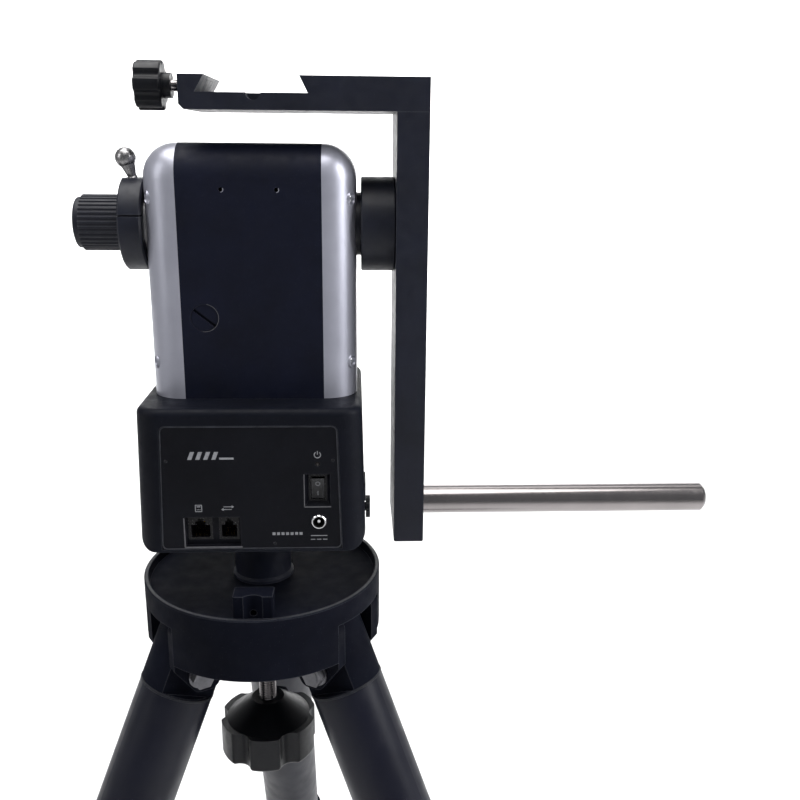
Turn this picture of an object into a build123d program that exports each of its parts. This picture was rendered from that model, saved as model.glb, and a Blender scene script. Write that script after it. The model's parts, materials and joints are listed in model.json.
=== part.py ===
from build123d import *
from math import cos, radians, sin
import os

# Motorised alt-azimuth star tracker mount with an L-bracket, on a three-leg tripod.
# Millimetres. Origin: where the azimuth axis meets the seat of the dovetail saddle.
# +X points along the altitude axis to the bracket, +Y to the back, +Z up.

# ---- L-bracket and saddle ----
BAR = 20.0                  # thickness of both plates
BAR_WIDTH = 70.0            # front to back
SADDLE_X = (-37.5, 112.5)
SEAT_X = (-27.9, 39.1)      # slot floor
SLOT_DEPTH = 10.0
FLANK_RUN = 6.0             # left flank leans in by this much over the slot depth
RIGHT_RUN = 5.0
BRACKET_BOTTOM = -290.0
CLAMP_Z = 5.0               # height of the saddle's clamp screw
PAD_Y = 24.0
PAD_POCKET_X = -33.0
CLAMP_SCREW_R = 3.0
SHAFT_R = 10.0              # counterweight shaft
SHAFT_Z = -273.0
SHAFT_END = 317.5
M6_R = 3.0
M6_HEAD_R = 5.0
M6_HEAD_H = 6.0
FIT = 0.05                  # radial running clearance of shafts in their bores
GAP = 0.3                   # clearance between bodies that only pass each other

# ---- head ----
HEAD_X = (-65.0, 68.0)
HEAD_Y = 35.0                # half depth
HEAD_Z = (-188.4, -29.0)
HEAD_ROUND = 21.0
SKIN = 3.0
BAND_X = (-42.5, 46.5)      # the dark centre band
ALT_Z = -79.5               # altitude axis
ALT_R = 17.5                # altitude shaft
BOSS_R = 21.5               # left boss that carries the clutch ring
RING_R = 30.25
RING_X = (-80.0, -65.3)
FLANGE_X = (70.8, 92.5)
END_KNOB_R = 17.9
END_KNOB_X = (-111.3, -80.5)
STUB_END = -105.0           # end of the stub the knob turns on
PLUG_XZ = (-28.0, -135.6)
PLUG_R = 8.6

# ---- base housing ----
BASE_X = 71.0               # half width at the top
FLARE = 2.4                 # each side leans out by this much over the height
BASE_Y = (-61.5, 64.0)
BASE_Z = (-284.0, -188.4)
WALL = 3.5
PANEL_X = 55.4              # half width at the top
PANEL_FLARE = 2.6
PANEL_Z = (-282.4, -198.8)
PANEL_FACE = -60.9
PANEL_T = 6.5
PANEL_SCREW_X = 52.4
RECESS = 5.0                # depth of the switch recess
POCKET_DEPTH = 3.8          # depth of the pocket round the two jacks
SWITCH_XZ = (42.5, -242.2)
DC_XZ = (43.0, -264.0)
LED_XZ = (42.7, -224.4)
HANDBOX_XZ = (-33.4, -269.0)
SERIAL_XZ = (-15.0, -269.0)
POCKET_X = (-42.7, -7.2)
POCKET_Z = (-280.4, -260.0)
CLUTCH_YZ = (-25.0, -268.0)
CLUTCH_X = (73.6, 76.5)     # head of the azimuth clutch screw

# ---- azimuth axis and tripod ----
POST_R = 20.0
SPIGOT_R = 14.0
WHEEL_R = 36.0
ALT_WHEEL_R = 26.0
WORM_R = 7.0
DISH_R = 83.6
DISH_TOP = -322.0
DISH_FLOOR = -328.0
DISH_UNDER = -338.0
SKIRT_BOTTOM = -366.0
BOLT_R = 6.35               # 1/2 inch centre bolt
HINGE_RADIUS = 60.5
HINGE_Z = -379.0
LEAN = 23.5                 # leg angle from vertical
LEG_R = 26.0
LEG_BORE = 23.5
TONGUE = 18.0               # half width of the cap between the dish's ears
EAR = 8.6
INNER_R = 23.2              # lower tube
COLLAR_TOP = 352.0          # distances down the leg from its hinge
COLLAR_END = 406.0
FLOOR_Z = -980.0
HINGE_BOLT_R = 5.0
LEG_ANGLES = (-150.0, -30.0, 90.0)

ALT_PLANE = Plane(origin=(0, 0, ALT_Z), x_dir=(0, 1, 0), z_dir=(1, 0, 0))
pieces = {}


def disc(plane, start, end, radius, inner=0.0, mode=Mode.ADD):
    """A cylinder or ring from start to end along the plane's normal."""
    with BuildSketch(plane.offset(start)) as outline:
        Circle(radius)
        if inner > 0:
            Circle(inner, mode=Mode.SUBTRACT)
    extrude(outline.sketch, amount=end - start, mode=mode)


def block(x, y, z, mode=Mode.ADD):
    """A box between the two limits given for each axis."""
    with Locations(((x[0] + x[1]) / 2, (y[0] + y[1]) / 2, (z[0] + z[1]) / 2)):
        Box(x[1] - x[0], y[1] - y[0], z[1] - z[0], mode=mode)


def prism(plane, start, end, points, mode=Mode.ADD):
    """A closed outline of straight runs, extruded from start to end."""
    with BuildSketch(plane.offset(start)) as outline:
        with BuildLine():
            Polyline(*points, close=True)
        make_face()
    extrude(outline.sketch, amount=end - start, mode=mode)


def cap_screw(plane, length):
    """Socket-head M6 screw whose head stands on the plane."""
    disc(plane, 0, M6_HEAD_H, M6_HEAD_R)
    disc(plane, 0, -length, M6_R)
    with BuildSketch(plane.offset(M6_HEAD_H)) as socket:
        RegularPolygon(2.9, 6)
    extrude(socket.sketch, amount=-3.4, mode=Mode.SUBTRACT)


def fluted(plane, start, end, radius, flutes, flute_r, flute_at, mode=Mode.ADD):
    """A hand knob's body: a disc with round flutes cut into its rim."""
    with BuildSketch(plane.offset(start)) as outline:
        Circle(radius)
        with PolarLocations(flute_at, flutes):
            Circle(flute_r, mode=Mode.SUBTRACT)
        fillet(outline.vertices(), radius * 0.08)
    extrude(outline.sketch, amount=end - start, mode=mode)


def hub_screw_planes(x):
    """Planes facing +X, at x, where the four screws of the hub flange sit."""
    return [Plane(origin=(x, HUB_PCD_R * cos(radians(turn)), ALT_Z + HUB_PCD_R * sin(radians(turn))),
                  z_dir=(1, 0, 0)) for turn in (45, 135, 225, 315)]


def keep(name, builder):
    builder.part.label = name
    pieces[name] = builder.part


# ================= L-bracket =================
SEAT_PLANE = Plane(origin=(0, 0, 0), x_dir=(1, 0, 0), z_dir=(0, -1, 0))
TOP_SCREWS = ((102.5, -22.0), (102.5, 22.0))
HUB_PCD_R = 22.0
CLAMP_PLANE = Plane(origin=(0, 0, CLAMP_Z), x_dir=(0, 1, 0), z_dir=(1, 0, 0))

with BuildPart() as saddle_bar:
    block(SADDLE_X, (-BAR_WIDTH / 2, BAR_WIDTH / 2), (SLOT_DEPTH - BAR, SLOT_DEPTH))
    chamfer(saddle_bar.edges().filter_by(Axis.Y).group_by(Axis.Z)[0].sort_by(Axis.X)[0], 3.0)
    prism(SEAT_PLANE, -BAR_WIDTH, BAR_WIDTH,
          ((SEAT_X[0], 0), (SEAT_X[1], 0), (SEAT_X[1] - RIGHT_RUN, SLOT_DEPTH),
           (SEAT_X[0] + FLANK_RUN, SLOT_DEPTH)), mode=Mode.SUBTRACT)
    # pocket for the sliding clamp pad, and the bore of its screw
    block((PAD_POCKET_X, SEAT_X[0] + FLANK_RUN), (-PAD_Y / 2, PAD_Y / 2), (0, 8), mode=Mode.SUBTRACT)
    disc(CLAMP_PLANE, SADDLE_X[0] - 1, PAD_POCKET_X + 1, CLAMP_SCREW_R + FIT, mode=Mode.SUBTRACT)
    # half-round relief in the front edge of the seat
    disc(Plane(origin=(6.8, 0, 0), x_dir=(1, 0, 0), z_dir=(0, -1, 0)), 25, 36, 4.4,
         mode=Mode.SUBTRACT)
    for x, y in TOP_SCREWS:
        at = Plane(origin=(x, y, SLOT_DEPTH), z_dir=(0, 0, 1))
        disc(at, 0, -6.5, 5.4, mode=Mode.SUBTRACT)
        disc(at, 0, -BAR, M6_R + FIT, mode=Mode.SUBTRACT)
keep("saddle_bar", saddle_bar)

with BuildPart() as vertical_bar:
    block((SADDLE_X[1] - BAR, SADDLE_X[1]), (-BAR_WIDTH / 2, BAR_WIDTH / 2),
          (BRACKET_BOTTOM, SLOT_DEPTH - BAR))
    for x, y in TOP_SCREWS:
        disc(Plane(origin=(x, y, SLOT_DEPTH - BAR), z_dir=(0, 0, 1)), 0, -14, M6_R + FIT,
             mode=Mode.SUBTRACT)
    for at in hub_screw_planes(SADDLE_X[1]):
        disc(at, 0, -6.5, 5.4, mode=Mode.SUBTRACT)
        disc(at, 0, -BAR, M6_R + FIT, mode=Mode.SUBTRACT)
    # threaded seat of the counterweight shaft
    disc(Plane(origin=(0, 0, SHAFT_Z), z_dir=(1, 0, 0)), SADDLE_X[1] - 16, SADDLE_X[1] + 1, 6.05,
         mode=Mode.SUBTRACT)
    chamfer(vertical_bar.edges().filter_by(Axis.Y).group_by(Axis.Z)[0], 0.8)
keep("vertical_bar", vertical_bar)

with BuildPart() as bracket_screws:
    for x, y in TOP_SCREWS:
        cap_screw(Plane(origin=(x, y, SLOT_DEPTH - 6.5), z_dir=(0, 0, 1)), 24)
    for at in hub_screw_planes(SADDLE_X[1] - 6.5):
        cap_screw(at, 24)
keep("bracket_screws", bracket_screws)

with BuildPart() as counterweight_shaft:
    shaft_plane = Plane(origin=(0, 0, SHAFT_Z), z_dir=(1, 0, 0))
    disc(shaft_plane, SADDLE_X[1], SHAFT_END, SHAFT_R)
    chamfer(counterweight_shaft.edges().group_by(Axis.X)[-1], 2.4)
    disc(shaft_plane, SADDLE_X[1] - 15, SADDLE_X[1], 6.0)
keep("counterweight_shaft", counterweight_shaft)

# ---- clamp of the saddle ----
with BuildPart() as clamp_pad:
    low = 0.15
    high = 7.8
    slope = FLANK_RUN / SLOT_DEPTH
    prism(SEAT_PLANE, -PAD_Y / 2 + 0.2, PAD_Y / 2 - 0.2,
          ((PAD_POCKET_X + 0.2, low), (SEAT_X[0] + slope * low, low),
           (SEAT_X[0] + slope * high, high), (PAD_POCKET_X + 0.2, high)))
    disc(CLAMP_PLANE, PAD_POCKET_X, PAD_POCKET_X + 2.2, CLAMP_SCREW_R + FIT, mode=Mode.SUBTRACT)
keep("clamp_pad", clamp_pad)

with BuildPart() as saddle_screw:
    disc(CLAMP_PLANE, -43.0, PAD_POCKET_X + 2.0, CLAMP_SCREW_R)
    disc(CLAMP_PLANE, -60.0, -43.0, 3.5)
keep("saddle_screw", saddle_screw)

with BuildPart() as saddle_knob:
    fluted(CLAMP_PLANE, -68.5, -52.0, 15.0, 7, 3.6, 16.6)
    fillet(saddle_knob.edges().group_by(Axis.X)[0], 1.2)
    fillet(saddle_knob.edges().group_by(Axis.X)[-1], 1.2)
    disc(CLAMP_PLANE, -52.0, -47.0, 7.7)
    # hollow back with a webbed rim
    disc(CLAMP_PLANE, -68.6, -60.5, 11.2, inner=6.2, mode=Mode.SUBTRACT)
    with BuildSketch(CLAMP_PLANE.offset(-68.0)):
        with PolarLocations(8.6, 7):
            Rectangle(6.4, 1.3)
    extrude(amount=7.6)
    disc(CLAMP_PLANE, -60.0, -46.0, 3.5, mode=Mode.SUBTRACT)
keep("saddle_knob", saddle_knob)

# ================= altitude axis =================
with BuildPart() as hub_adapter:
    disc(ALT_PLANE, 66.0, FLANGE_X[0], 20.2)
    disc(ALT_PLANE, FLANGE_X[0], FLANGE_X[1], RING_R)
    chamfer(hub_adapter.edges().filter_by(GeomType.CIRCLE).group_by(SortBy.RADIUS)[-1], 0.8)
    for at in hub_screw_planes(FLANGE_X[1]):
        disc(at, 0, -12, M6_R + FIT, mode=Mode.SUBTRACT)
    disc(ALT_PLANE, 65.0, 80.0, 12.0, mode=Mode.SUBTRACT)
keep("hub_adapter", hub_adapter)

with BuildPart() as alt_shaft:
    disc(ALT_PLANE, RING_X[0] + 2, 66.0, ALT_R)
    disc(ALT_PLANE, 66.0, 80.0, 12.0)
    disc(ALT_PLANE, STUB_END, RING_X[0] + 2, 6.0)
keep("alt_shaft", alt_shaft)

with BuildPart() as alt_worm_wheel:
    with BuildSketch(ALT_PLANE.offset(-6)) as teeth:
        Circle(ALT_WHEEL_R)
        Circle(ALT_R, mode=Mode.SUBTRACT)
        with PolarLocations(ALT_WHEEL_R + 0.2, 72):
            Circle(0.9, mode=Mode.SUBTRACT)
    extrude(amount=12)
keep("alt_worm_wheel", alt_worm_wheel)

with BuildPart() as end_knob:
    with BuildSketch(ALT_PLANE.offset(END_KNOB_X[0] + 4)) as ribs:
        Circle(END_KNOB_R)
        with PolarLocations(END_KNOB_R + 0.5, 36):
            Circle(1.25, mode=Mode.SUBTRACT)
    extrude(amount=END_KNOB_X[1] - END_KNOB_X[0] - 4)
    disc(ALT_PLANE, END_KNOB_X[0], END_KNOB_X[0] + 4, END_KNOB_R - 1.6)
    fillet(end_knob.edges().group_by(Axis.X)[0], 1.5)
    disc(ALT_PLANE, STUB_END - 0.5, END_KNOB_X[1] + 1, 6.0 + FIT, mode=Mode.SUBTRACT)
keep("end_knob", end_knob)

LEVER = Plane(origin=(-73.5, -6.0, ALT_Z + 28.4), x_dir=(cos(radians(17)), 0, sin(radians(17))),
              z_dir=(-sin(radians(17)), 0, cos(radians(17))))

with BuildPart() as clamp_ring:
    disc(ALT_PLANE, RING_X[0], RING_X[1], RING_R, inner=BOSS_R + FIT)
    chamfer(clamp_ring.edges().filter_by(GeomType.CIRCLE).group_by(SortBy.RADIUS)[-1], 1.0)
    # flat on top for the lever, and the clamping slit at the front
    block((-90, -60), (-20, 20), (LEVER.origin.Z, ALT_Z + 40), mode=Mode.SUBTRACT)
    block((-90, -60), (-RING_R - 1, -BOSS_R - 3), (-73.4, -72.4), mode=Mode.SUBTRACT)
    disc(LEVER, -4.8, 2, 3.0, mode=Mode.SUBTRACT)
keep("clamp_ring", clamp_ring)

with BuildPart() as alt_lever:
    disc(LEVER, -4.8, 1.2, 3.0)
    with BuildSketch(Plane(origin=LEVER.origin, x_dir=LEVER.x_dir, z_dir=LEVER.y_dir * -1)):
        with BuildLine():
            Polyline((0, 0), (3.4, 0), (2.7, 1.2), (5.0, 10.5), (0, 10.5), close=True)
        make_face()
    revolve(axis=Axis(LEVER.origin, LEVER.z_dir))
    with Locations(LEVER.origin + LEVER.z_dir * 13.0):
        Sphere(6.5)
keep("alt_lever", alt_lever)


# ================= head =================
def head_form(inset):
    """The head's rounded block, drawn in by inset on every side but the bottom."""
    with BuildPart() as form:
        block((HEAD_X[0] + inset, HEAD_X[1] - inset), (-HEAD_Y + inset, HEAD_Y - inset),
              (HEAD_Z[0], HEAD_Z[1] - inset))
        edges = form.edges().filter_by(Axis.Z) + form.edges().group_by(Axis.Z)[-1]
        fillet(edges, HEAD_ROUND - inset)
    return form.part


HEAD_OUTER = head_form(0)
HEAD_INNER = head_form(SKIN)
COVER_SCREWS = [(y, z) for y in (-24.0, 24.0) for z in (-62.0, -166.0)]
SCREW_SEAT = 5.5            # depth of the screw seats below the side faces


def side_shell(side):
    """One silver side shell, with bosses and recesses for its screws."""
    face, band = (HEAD_X[0], BAND_X[0]) if side < 0 else (HEAD_X[1], BAND_X[1])
    seat = face - side * SCREW_SEAT
    with BuildPart() as shell:
        add(HEAD_OUTER)
        add(HEAD_INNER, mode=Mode.SUBTRACT)
        for y, z in COVER_SCREWS:
            disc(Plane(origin=(0, y, z), z_dir=(1, 0, 0)), band, face - side * 4, 5.0)
        block((-90, band) if side > 0 else (band, 90), (-60, 60), (-200, 0), mode=Mode.SUBTRACT)
        for y, z in COVER_SCREWS:
            at = Plane(origin=(0, y, z), z_dir=(1, 0, 0))
            disc(at, seat, face + side * 2, 3.4, mode=Mode.SUBTRACT)
            disc(at, band - side, seat, 1.5 + FIT, mode=Mode.SUBTRACT)
        bore = BOSS_R + GAP if side < 0 else 20.2 + GAP
        disc(ALT_PLANE, face - side * 12, face + side * 2, bore, mode=Mode.SUBTRACT)
    return shell


left_shell = side_shell(-1)
keep("left_shell", left_shell)
right_shell = side_shell(1)
keep("right_shell", right_shell)

with BuildPart() as cover_band:
    add(HEAD_OUTER)
    add(HEAD_INNER, mode=Mode.SUBTRACT)
    block((-90, BAND_X[0]), (-60, 60), (-200, 0), mode=Mode.SUBTRACT)
    block((BAND_X[1], 90), (-60, 60), (-200, 0), mode=Mode.SUBTRACT)
    disc(Plane(origin=(PLUG_XZ[0], 0, PLUG_XZ[1]), z_dir=(0, -1, 0)), 30, 50, PLUG_R + 0.1,
         mode=Mode.SUBTRACT)
    for x in (-14.7, 19.1):
        disc(Plane(origin=(x, 0, -56.4), z_dir=(0, -1, 0)), 30, 50, 1.3, mode=Mode.SUBTRACT)
keep("cover_band", cover_band)

with BuildPart() as sight_plug:
    plug_plane = Plane(origin=(PLUG_XZ[0], 0, PLUG_XZ[1]), x_dir=(cos(radians(38)), 0, -sin(radians(38))),
                       z_dir=(0, -1, 0))
    disc(plug_plane, HEAD_Y - 5, HEAD_Y - 0.6, PLUG_R)
    with BuildSketch(plug_plane.offset(HEAD_Y - 0.6)):
        Rectangle(2 * PLUG_R + 1, 1.7)
    extrude(amount=-2, mode=Mode.SUBTRACT)
keep("sight_plug", sight_plug)

with BuildPart() as cover_screws:
    for side, face, band in ((-1, HEAD_X[0], BAND_X[0]), (1, HEAD_X[1], BAND_X[1])):
        seat = face - side * SCREW_SEAT
        for y, z in COVER_SCREWS:
            at = Plane(origin=(0, y, z), z_dir=(1, 0, 0))
            disc(at, seat, seat + side * 1.8, 2.8)
            disc(at, band + side, seat, 1.5)
keep("cover_screws", cover_screws)

FRAME_X = 41.0
FRAME_T = 8.0
FRAME_Y = 27.0
FRAME_Z = (-188.4, -40.0)
BEARING_R = 23.5
BEARING_W = 7.0
ALT_WORM_Z = ALT_Z - ALT_WHEEL_R - WORM_R - 0.4
WORM_HALF = 14.0
WORM_SHAFT_R = 3.0

with BuildPart() as head_frame:
    block((-FRAME_X, FRAME_X), (-FRAME_Y, FRAME_Y), FRAME_Z)
    block((-FRAME_X + FRAME_T, FRAME_X - FRAME_T), (-FRAME_Y - 1, FRAME_Y + 1),
          (FRAME_Z[0] + FRAME_T, FRAME_Z[1] - 6), mode=Mode.SUBTRACT)
    # left boss for the clutch ring
    disc(ALT_PLANE, RING_X[0] + 2, -FRAME_X + 1, BOSS_R)
    # posts that carry the altitude worm
    for y in ((-23.0, -18.5), (15.0, 19.0)):
        block((-10, 10), y, (FRAME_Z[0] + FRAME_T, ALT_WORM_Z + 7))
    disc(Plane(origin=(0, 0, ALT_WORM_Z), z_dir=(0, 1, 0)), -30, 30, WORM_SHAFT_R + FIT,
         mode=Mode.SUBTRACT)
    disc(ALT_PLANE, RING_X[0], FRAME_X + 1, ALT_R + GAP, mode=Mode.SUBTRACT)
    for side in (-1, 1):
        disc(ALT_PLANE, side * (FRAME_X - FRAME_T - 1), side * (FRAME_X - 1), BEARING_R,
             mode=Mode.SUBTRACT)
keep("head_frame", head_frame)

with BuildPart() as alt_bearings:
    for side in (-1, 1):
        disc(ALT_PLANE, side * (FRAME_X - FRAME_T), side * (FRAME_X - 1), BEARING_R,
             inner=ALT_R + FIT)
keep("alt_bearings", alt_bearings)

# ================= base housing =================
FRONT = Plane(origin=(0, 0, 0), x_dir=(1, 0, 0), z_dir=(0, -1, 0))
SPARE = 0.02                # the outline that rounds the block's bottom stands this far outside it


def panel_outline(spare):
    """The panel's outline, or with spare its opening: wider at the foot, with round upper corners."""
    top, foot = PANEL_X + spare, PANEL_X + PANEL_FLARE + spare
    with BuildSketch() as outline:
        with BuildLine():
            Polyline((-foot, PANEL_Z[0] - spare), (foot, PANEL_Z[0] - spare), (top, PANEL_Z[1] + spare),
                     (-top, PANEL_Z[1] + spare), close=True)
        make_face()
        fillet(outline.vertices().group_by(Axis.Y)[-1], 4)
    return outline.sketch


def base_form(inset):
    """The housing's block: rounded in plan, along the top edge and at the two bottom corners."""
    x = BASE_X - inset
    y = (BASE_Y[0] + inset, BASE_Y[1] - inset)
    z = (BASE_Z[0] + (4 if inset else 0), BASE_Z[1] - inset)
    with BuildPart() as plan:
        for level, half in ((z[0], x + FLARE), (z[1], x)):
            with BuildSketch(Plane.XY.offset(level)):
                with Locations((0, (y[0] + y[1]) / 2)):
                    RectangleRounded(2 * half, y[1] - y[0], 14 - inset)
        loft()
        fillet(plan.edges().group_by(Axis.Z)[-1], 4.5 - inset)
    with BuildPart() as front:
        with BuildSketch(FRONT.offset(-80)) as outline:
            with BuildLine():
                Polyline((-x - FLARE - SPARE, z[0]), (x + FLARE + SPARE, z[0]), (x + SPARE, z[1] + 1),
                         (-x - SPARE, z[1] + 1), close=True)
            make_face()
            fillet(outline.vertices().group_by(Axis.Y)[0], 10 - inset)
        extrude(amount=160)
    return plan.part & front.part


BASE_OUTER = base_form(0)
BASE_INNER = base_form(WALL)
PLATE_X = (-59.0, 59.0)
PLATE_Y = (-52.0, 56.0)
PLATE_T = 4.0
CLUTCH_PLANE = Plane(origin=(0, CLUTCH_YZ[0], CLUTCH_YZ[1]), x_dir=(0, 1, 0), z_dir=(1, 0, 0))

with BuildPart() as base_housing:
    add(BASE_OUTER)
    add(BASE_INNER, mode=Mode.SUBTRACT)
    block(PLATE_X, PLATE_Y, (BASE_Z[0] - 1, BASE_Z[0] + PLATE_T), mode=Mode.SUBTRACT)
    with BuildSketch(FRONT.offset(-BASE_Y[0] - 9)):
        add(panel_outline(0.15))
    extrude(amount=12, mode=Mode.SUBTRACT)
    # inside boss of the azimuth clutch screw, and the raised pad above its knob
    disc(CLUTCH_PLANE, 56.0, BASE_X - 1, 7.5)
    disc(CLUTCH_PLANE, 50.0, BASE_X + 3, M6_R + FIT, mode=Mode.SUBTRACT)
    block((BASE_X - 1, BASE_X + FLARE), (-36, -14), (-259.6, -247.0))
    # side lugs that the control panel's screws bite
    for x in ((-67.0, 3 - PANEL_SCREW_X), (PANEL_SCREW_X - 3, 67.0)):
        block(x, (PANEL_FACE + PANEL_T, PANEL_FACE + PANEL_T + 5), (-230, -215))
keep("base_housing", base_housing)

JACK_HALF = 7.75            # half height of the two jacks
SWITCH_HALF = 8.8

with BuildPart() as control_panel:
    with BuildSketch(FRONT.offset(-PANEL_FACE)):
        add(panel_outline(0))
    extrude(amount=-PANEL_T)
    # pocket of the two jacks
    block(POCKET_X, (PANEL_FACE - 1, PANEL_FACE + POCKET_DEPTH), POCKET_Z, mode=Mode.SUBTRACT)
    for (x, z), w in ((HANDBOX_XZ, 15.4), (SERIAL_XZ, 12.8)):
        block((x - w / 2, x + w / 2), (-62, -50), (z - JACK_HALF, z + JACK_HALF), mode=Mode.SUBTRACT)
    # sloped recess of the switch
    with BuildSketch(FRONT.offset(-PANEL_FACE)):
        with Locations(SWITCH_XZ):
            Rectangle(16.4, 22.0)
    extrude(amount=-RECESS, taper=22, mode=Mode.SUBTRACT)
    block((SWITCH_XZ[0] - 5.7, SWITCH_XZ[0] + 5.7), (-62, -50),
          (SWITCH_XZ[1] - SWITCH_HALF, SWITCH_XZ[1] + SWITCH_HALF), mode=Mode.SUBTRACT)
    for (x, z), r in ((DC_XZ, 4.8), (LED_XZ, 1.5)):
        disc(Plane(origin=(x, 0, z), z_dir=(0, -1, 0)), 50, 62, r, mode=Mode.SUBTRACT)
    for x, z in ((14.6, -278.6), (-PANEL_SCREW_X, -222.0), (PANEL_SCREW_X, -222.0)):
        disc(Plane(origin=(x, 0, z), z_dir=(0, -1, 0)), 50, 62, 1.05, mode=Mode.SUBTRACT)
keep("control_panel", control_panel)


def modular_jack(centre, width, hole):
    """A modular jack: a block with a plug cavity and two latch notches above it."""
    x, z = centre
    back = -42.0
    face = PANEL_FACE + POCKET_DEPTH
    with BuildPart() as jack:
        block((x - width / 2, x + width / 2), (face, back), (z - JACK_HALF, z + JACK_HALF))
        block((x - hole / 2, x + hole / 2), (face - 1, back - 1.5), (z - 6.4, z + 2.1), mode=Mode.SUBTRACT)
        block((x - hole * 0.27, x + hole * 0.27), (face - 1, back - 1.5), (z + 2.0, z + 4.6),
              mode=Mode.SUBTRACT)
        block((x - hole * 0.14, x + hole * 0.14), (face - 1, back - 1.5), (z + 4.5, z + 6.5),
              mode=Mode.SUBTRACT)
    return jack


keep("handbox_jack", modular_jack(HANDBOX_XZ, 15.4, 12.2))
keep("serial_jack", modular_jack(SERIAL_XZ, 12.8, 9.7))

with BuildPart() as power_jack:
    dc_plane = Plane(origin=(DC_XZ[0], 0, DC_XZ[1]), z_dir=(0, -1, 0))
    disc(dc_plane, 45, 61.4, 4.8)
    chamfer(power_jack.edges().group_by(Axis.Y)[0], 0.4)
    disc(dc_plane, 48, 62, 3.8, mode=Mode.SUBTRACT)
    disc(dc_plane, 47, 59.6, 1.0)
keep("power_jack", power_jack)

with BuildPart() as power_led:
    led_plane = Plane(origin=(LED_XZ[0], 0, LED_XZ[1]), z_dir=(0, -1, 0))
    disc(led_plane, 54, 60.6, 1.45)
    fillet(power_led.edges().group_by(Axis.Y)[0], 0.6)
keep("power_led", power_led)

PIVOT_Y = -54.3
ROCKER_HALF = 7.0
with BuildPart() as switch_frame:
    face = PANEL_FACE + RECESS
    block((SWITCH_XZ[0] - 5.7, SWITCH_XZ[0] + 5.7), (face, -46.0),
          (SWITCH_XZ[1] - SWITCH_HALF, SWITCH_XZ[1] + SWITCH_HALF))
    block((SWITCH_XZ[0] - 4.5, SWITCH_XZ[0] + 4.5), (face - 1, -48.0), (SWITCH_XZ[1] - 7.7, SWITCH_XZ[1] + 7.7),
          mode=Mode.SUBTRACT)
    disc(Plane(origin=(SWITCH_XZ[0], PIVOT_Y, SWITCH_XZ[1]), z_dir=(1, 0, 0)), -5.2, 5.2, 1.0 + FIT,
         mode=Mode.SUBTRACT)
keep("switch_frame", switch_frame)

with BuildPart() as power_rocker:
    tilt = 7.0
    rocker_side = Plane(origin=(SWITCH_XZ[0], PIVOT_Y, SWITCH_XZ[1]),
                        x_dir=(0, cos(radians(tilt)), sin(radians(tilt))), z_dir=(1, 0, 0))
    prism(rocker_side, -4.15, 4.15,
          ((-2.1, -ROCKER_HALF), (-1.3, 0), (-2.1, ROCKER_HALF), (1.2, 5.4), (3.2, 0), (1.2, -5.4)))
    disc(rocker_side, -5.0, 5.0, 1.0)
keep("power_rocker", power_rocker)

with BuildPart() as panel_screws:
    for x, z in ((14.6, -278.6), (-PANEL_SCREW_X, -222.0), (PANEL_SCREW_X, -222.0)):
        at = Plane(origin=(x, 0, z), z_dir=(0, -1, 0))
        disc(at, 54.6, 61.0, 1.0)
keep("panel_screws", panel_screws)

AZ_WORM_Y = WHEEL_R + WORM_R + 0.4
AZ_WORM_Z = -257.0
with BuildPart() as base_plate:
    block(PLATE_X, PLATE_Y, (BASE_Z[0], BASE_Z[0] + PLATE_T))
    disc(Plane.XY, BASE_Z[0] + PLATE_T, -268.0, 22.0)
    for x in ((-23.0, -18.5), (15.0, 19.0)):
        block(x, (AZ_WORM_Y - 5, AZ_WORM_Y + 9), (BASE_Z[0] + PLATE_T, AZ_WORM_Z + 7))
    disc(Plane(origin=(0, AZ_WORM_Y, AZ_WORM_Z), z_dir=(1, 0, 0)), -30, 30, WORM_SHAFT_R + FIT,
         mode=Mode.SUBTRACT)
    disc(Plane.XY, BASE_Z[0] - 1, -260, SPIGOT_R + FIT, mode=Mode.SUBTRACT)
keep("base_plate", base_plate)


def worm_axes():
    """Where the two worms lie: along X beside the azimuth wheel, along Y below the altitude wheel."""
    return (Plane(origin=(0, AZ_WORM_Y, AZ_WORM_Z), z_dir=(1, 0, 0)),
            Plane(origin=(0, 0, ALT_WORM_Z), z_dir=(0, 1, 0)))


with BuildPart() as drive_worms:
    for axis_plane in worm_axes():
        disc(axis_plane, -WORM_HALF, WORM_HALF, WORM_R)
        disc(axis_plane, -22, 21, WORM_SHAFT_R)
        for turn in range(9):
            start = -WORM_HALF + 1.5 + 3.0 * turn
            disc(axis_plane, start, start + 1.2, WORM_R + 1, inner=WORM_R - 1.4, mode=Mode.SUBTRACT)
keep("drive_worms", drive_worms)

with BuildPart() as drive_motors:
    for axis_plane in worm_axes():
        disc(axis_plane, 19.0, 31.0, 12.0)
        disc(axis_plane, 18.0, 21.0, WORM_SHAFT_R, mode=Mode.SUBTRACT)
keep("drive_motors", drive_motors)

with BuildPart() as battery_pack:
    block((-56, 56), (-34, 34), (-238.0, -198.0))
    fillet(battery_pack.edges().filter_by(Axis.Z), 4)
keep("battery_pack", battery_pack)

with BuildPart() as az_clutch_knob:
    fluted(CLUTCH_PLANE, CLUTCH_X[0], CLUTCH_X[1], 7.5, 8, 1.2, 8.0)
    fillet(az_clutch_knob.edges().group_by(Axis.X)[-1], 0.4)
    disc(CLUTCH_PLANE, 57.0, CLUTCH_X[0], M6_R)
keep("az_clutch_knob", az_clutch_knob)

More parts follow.
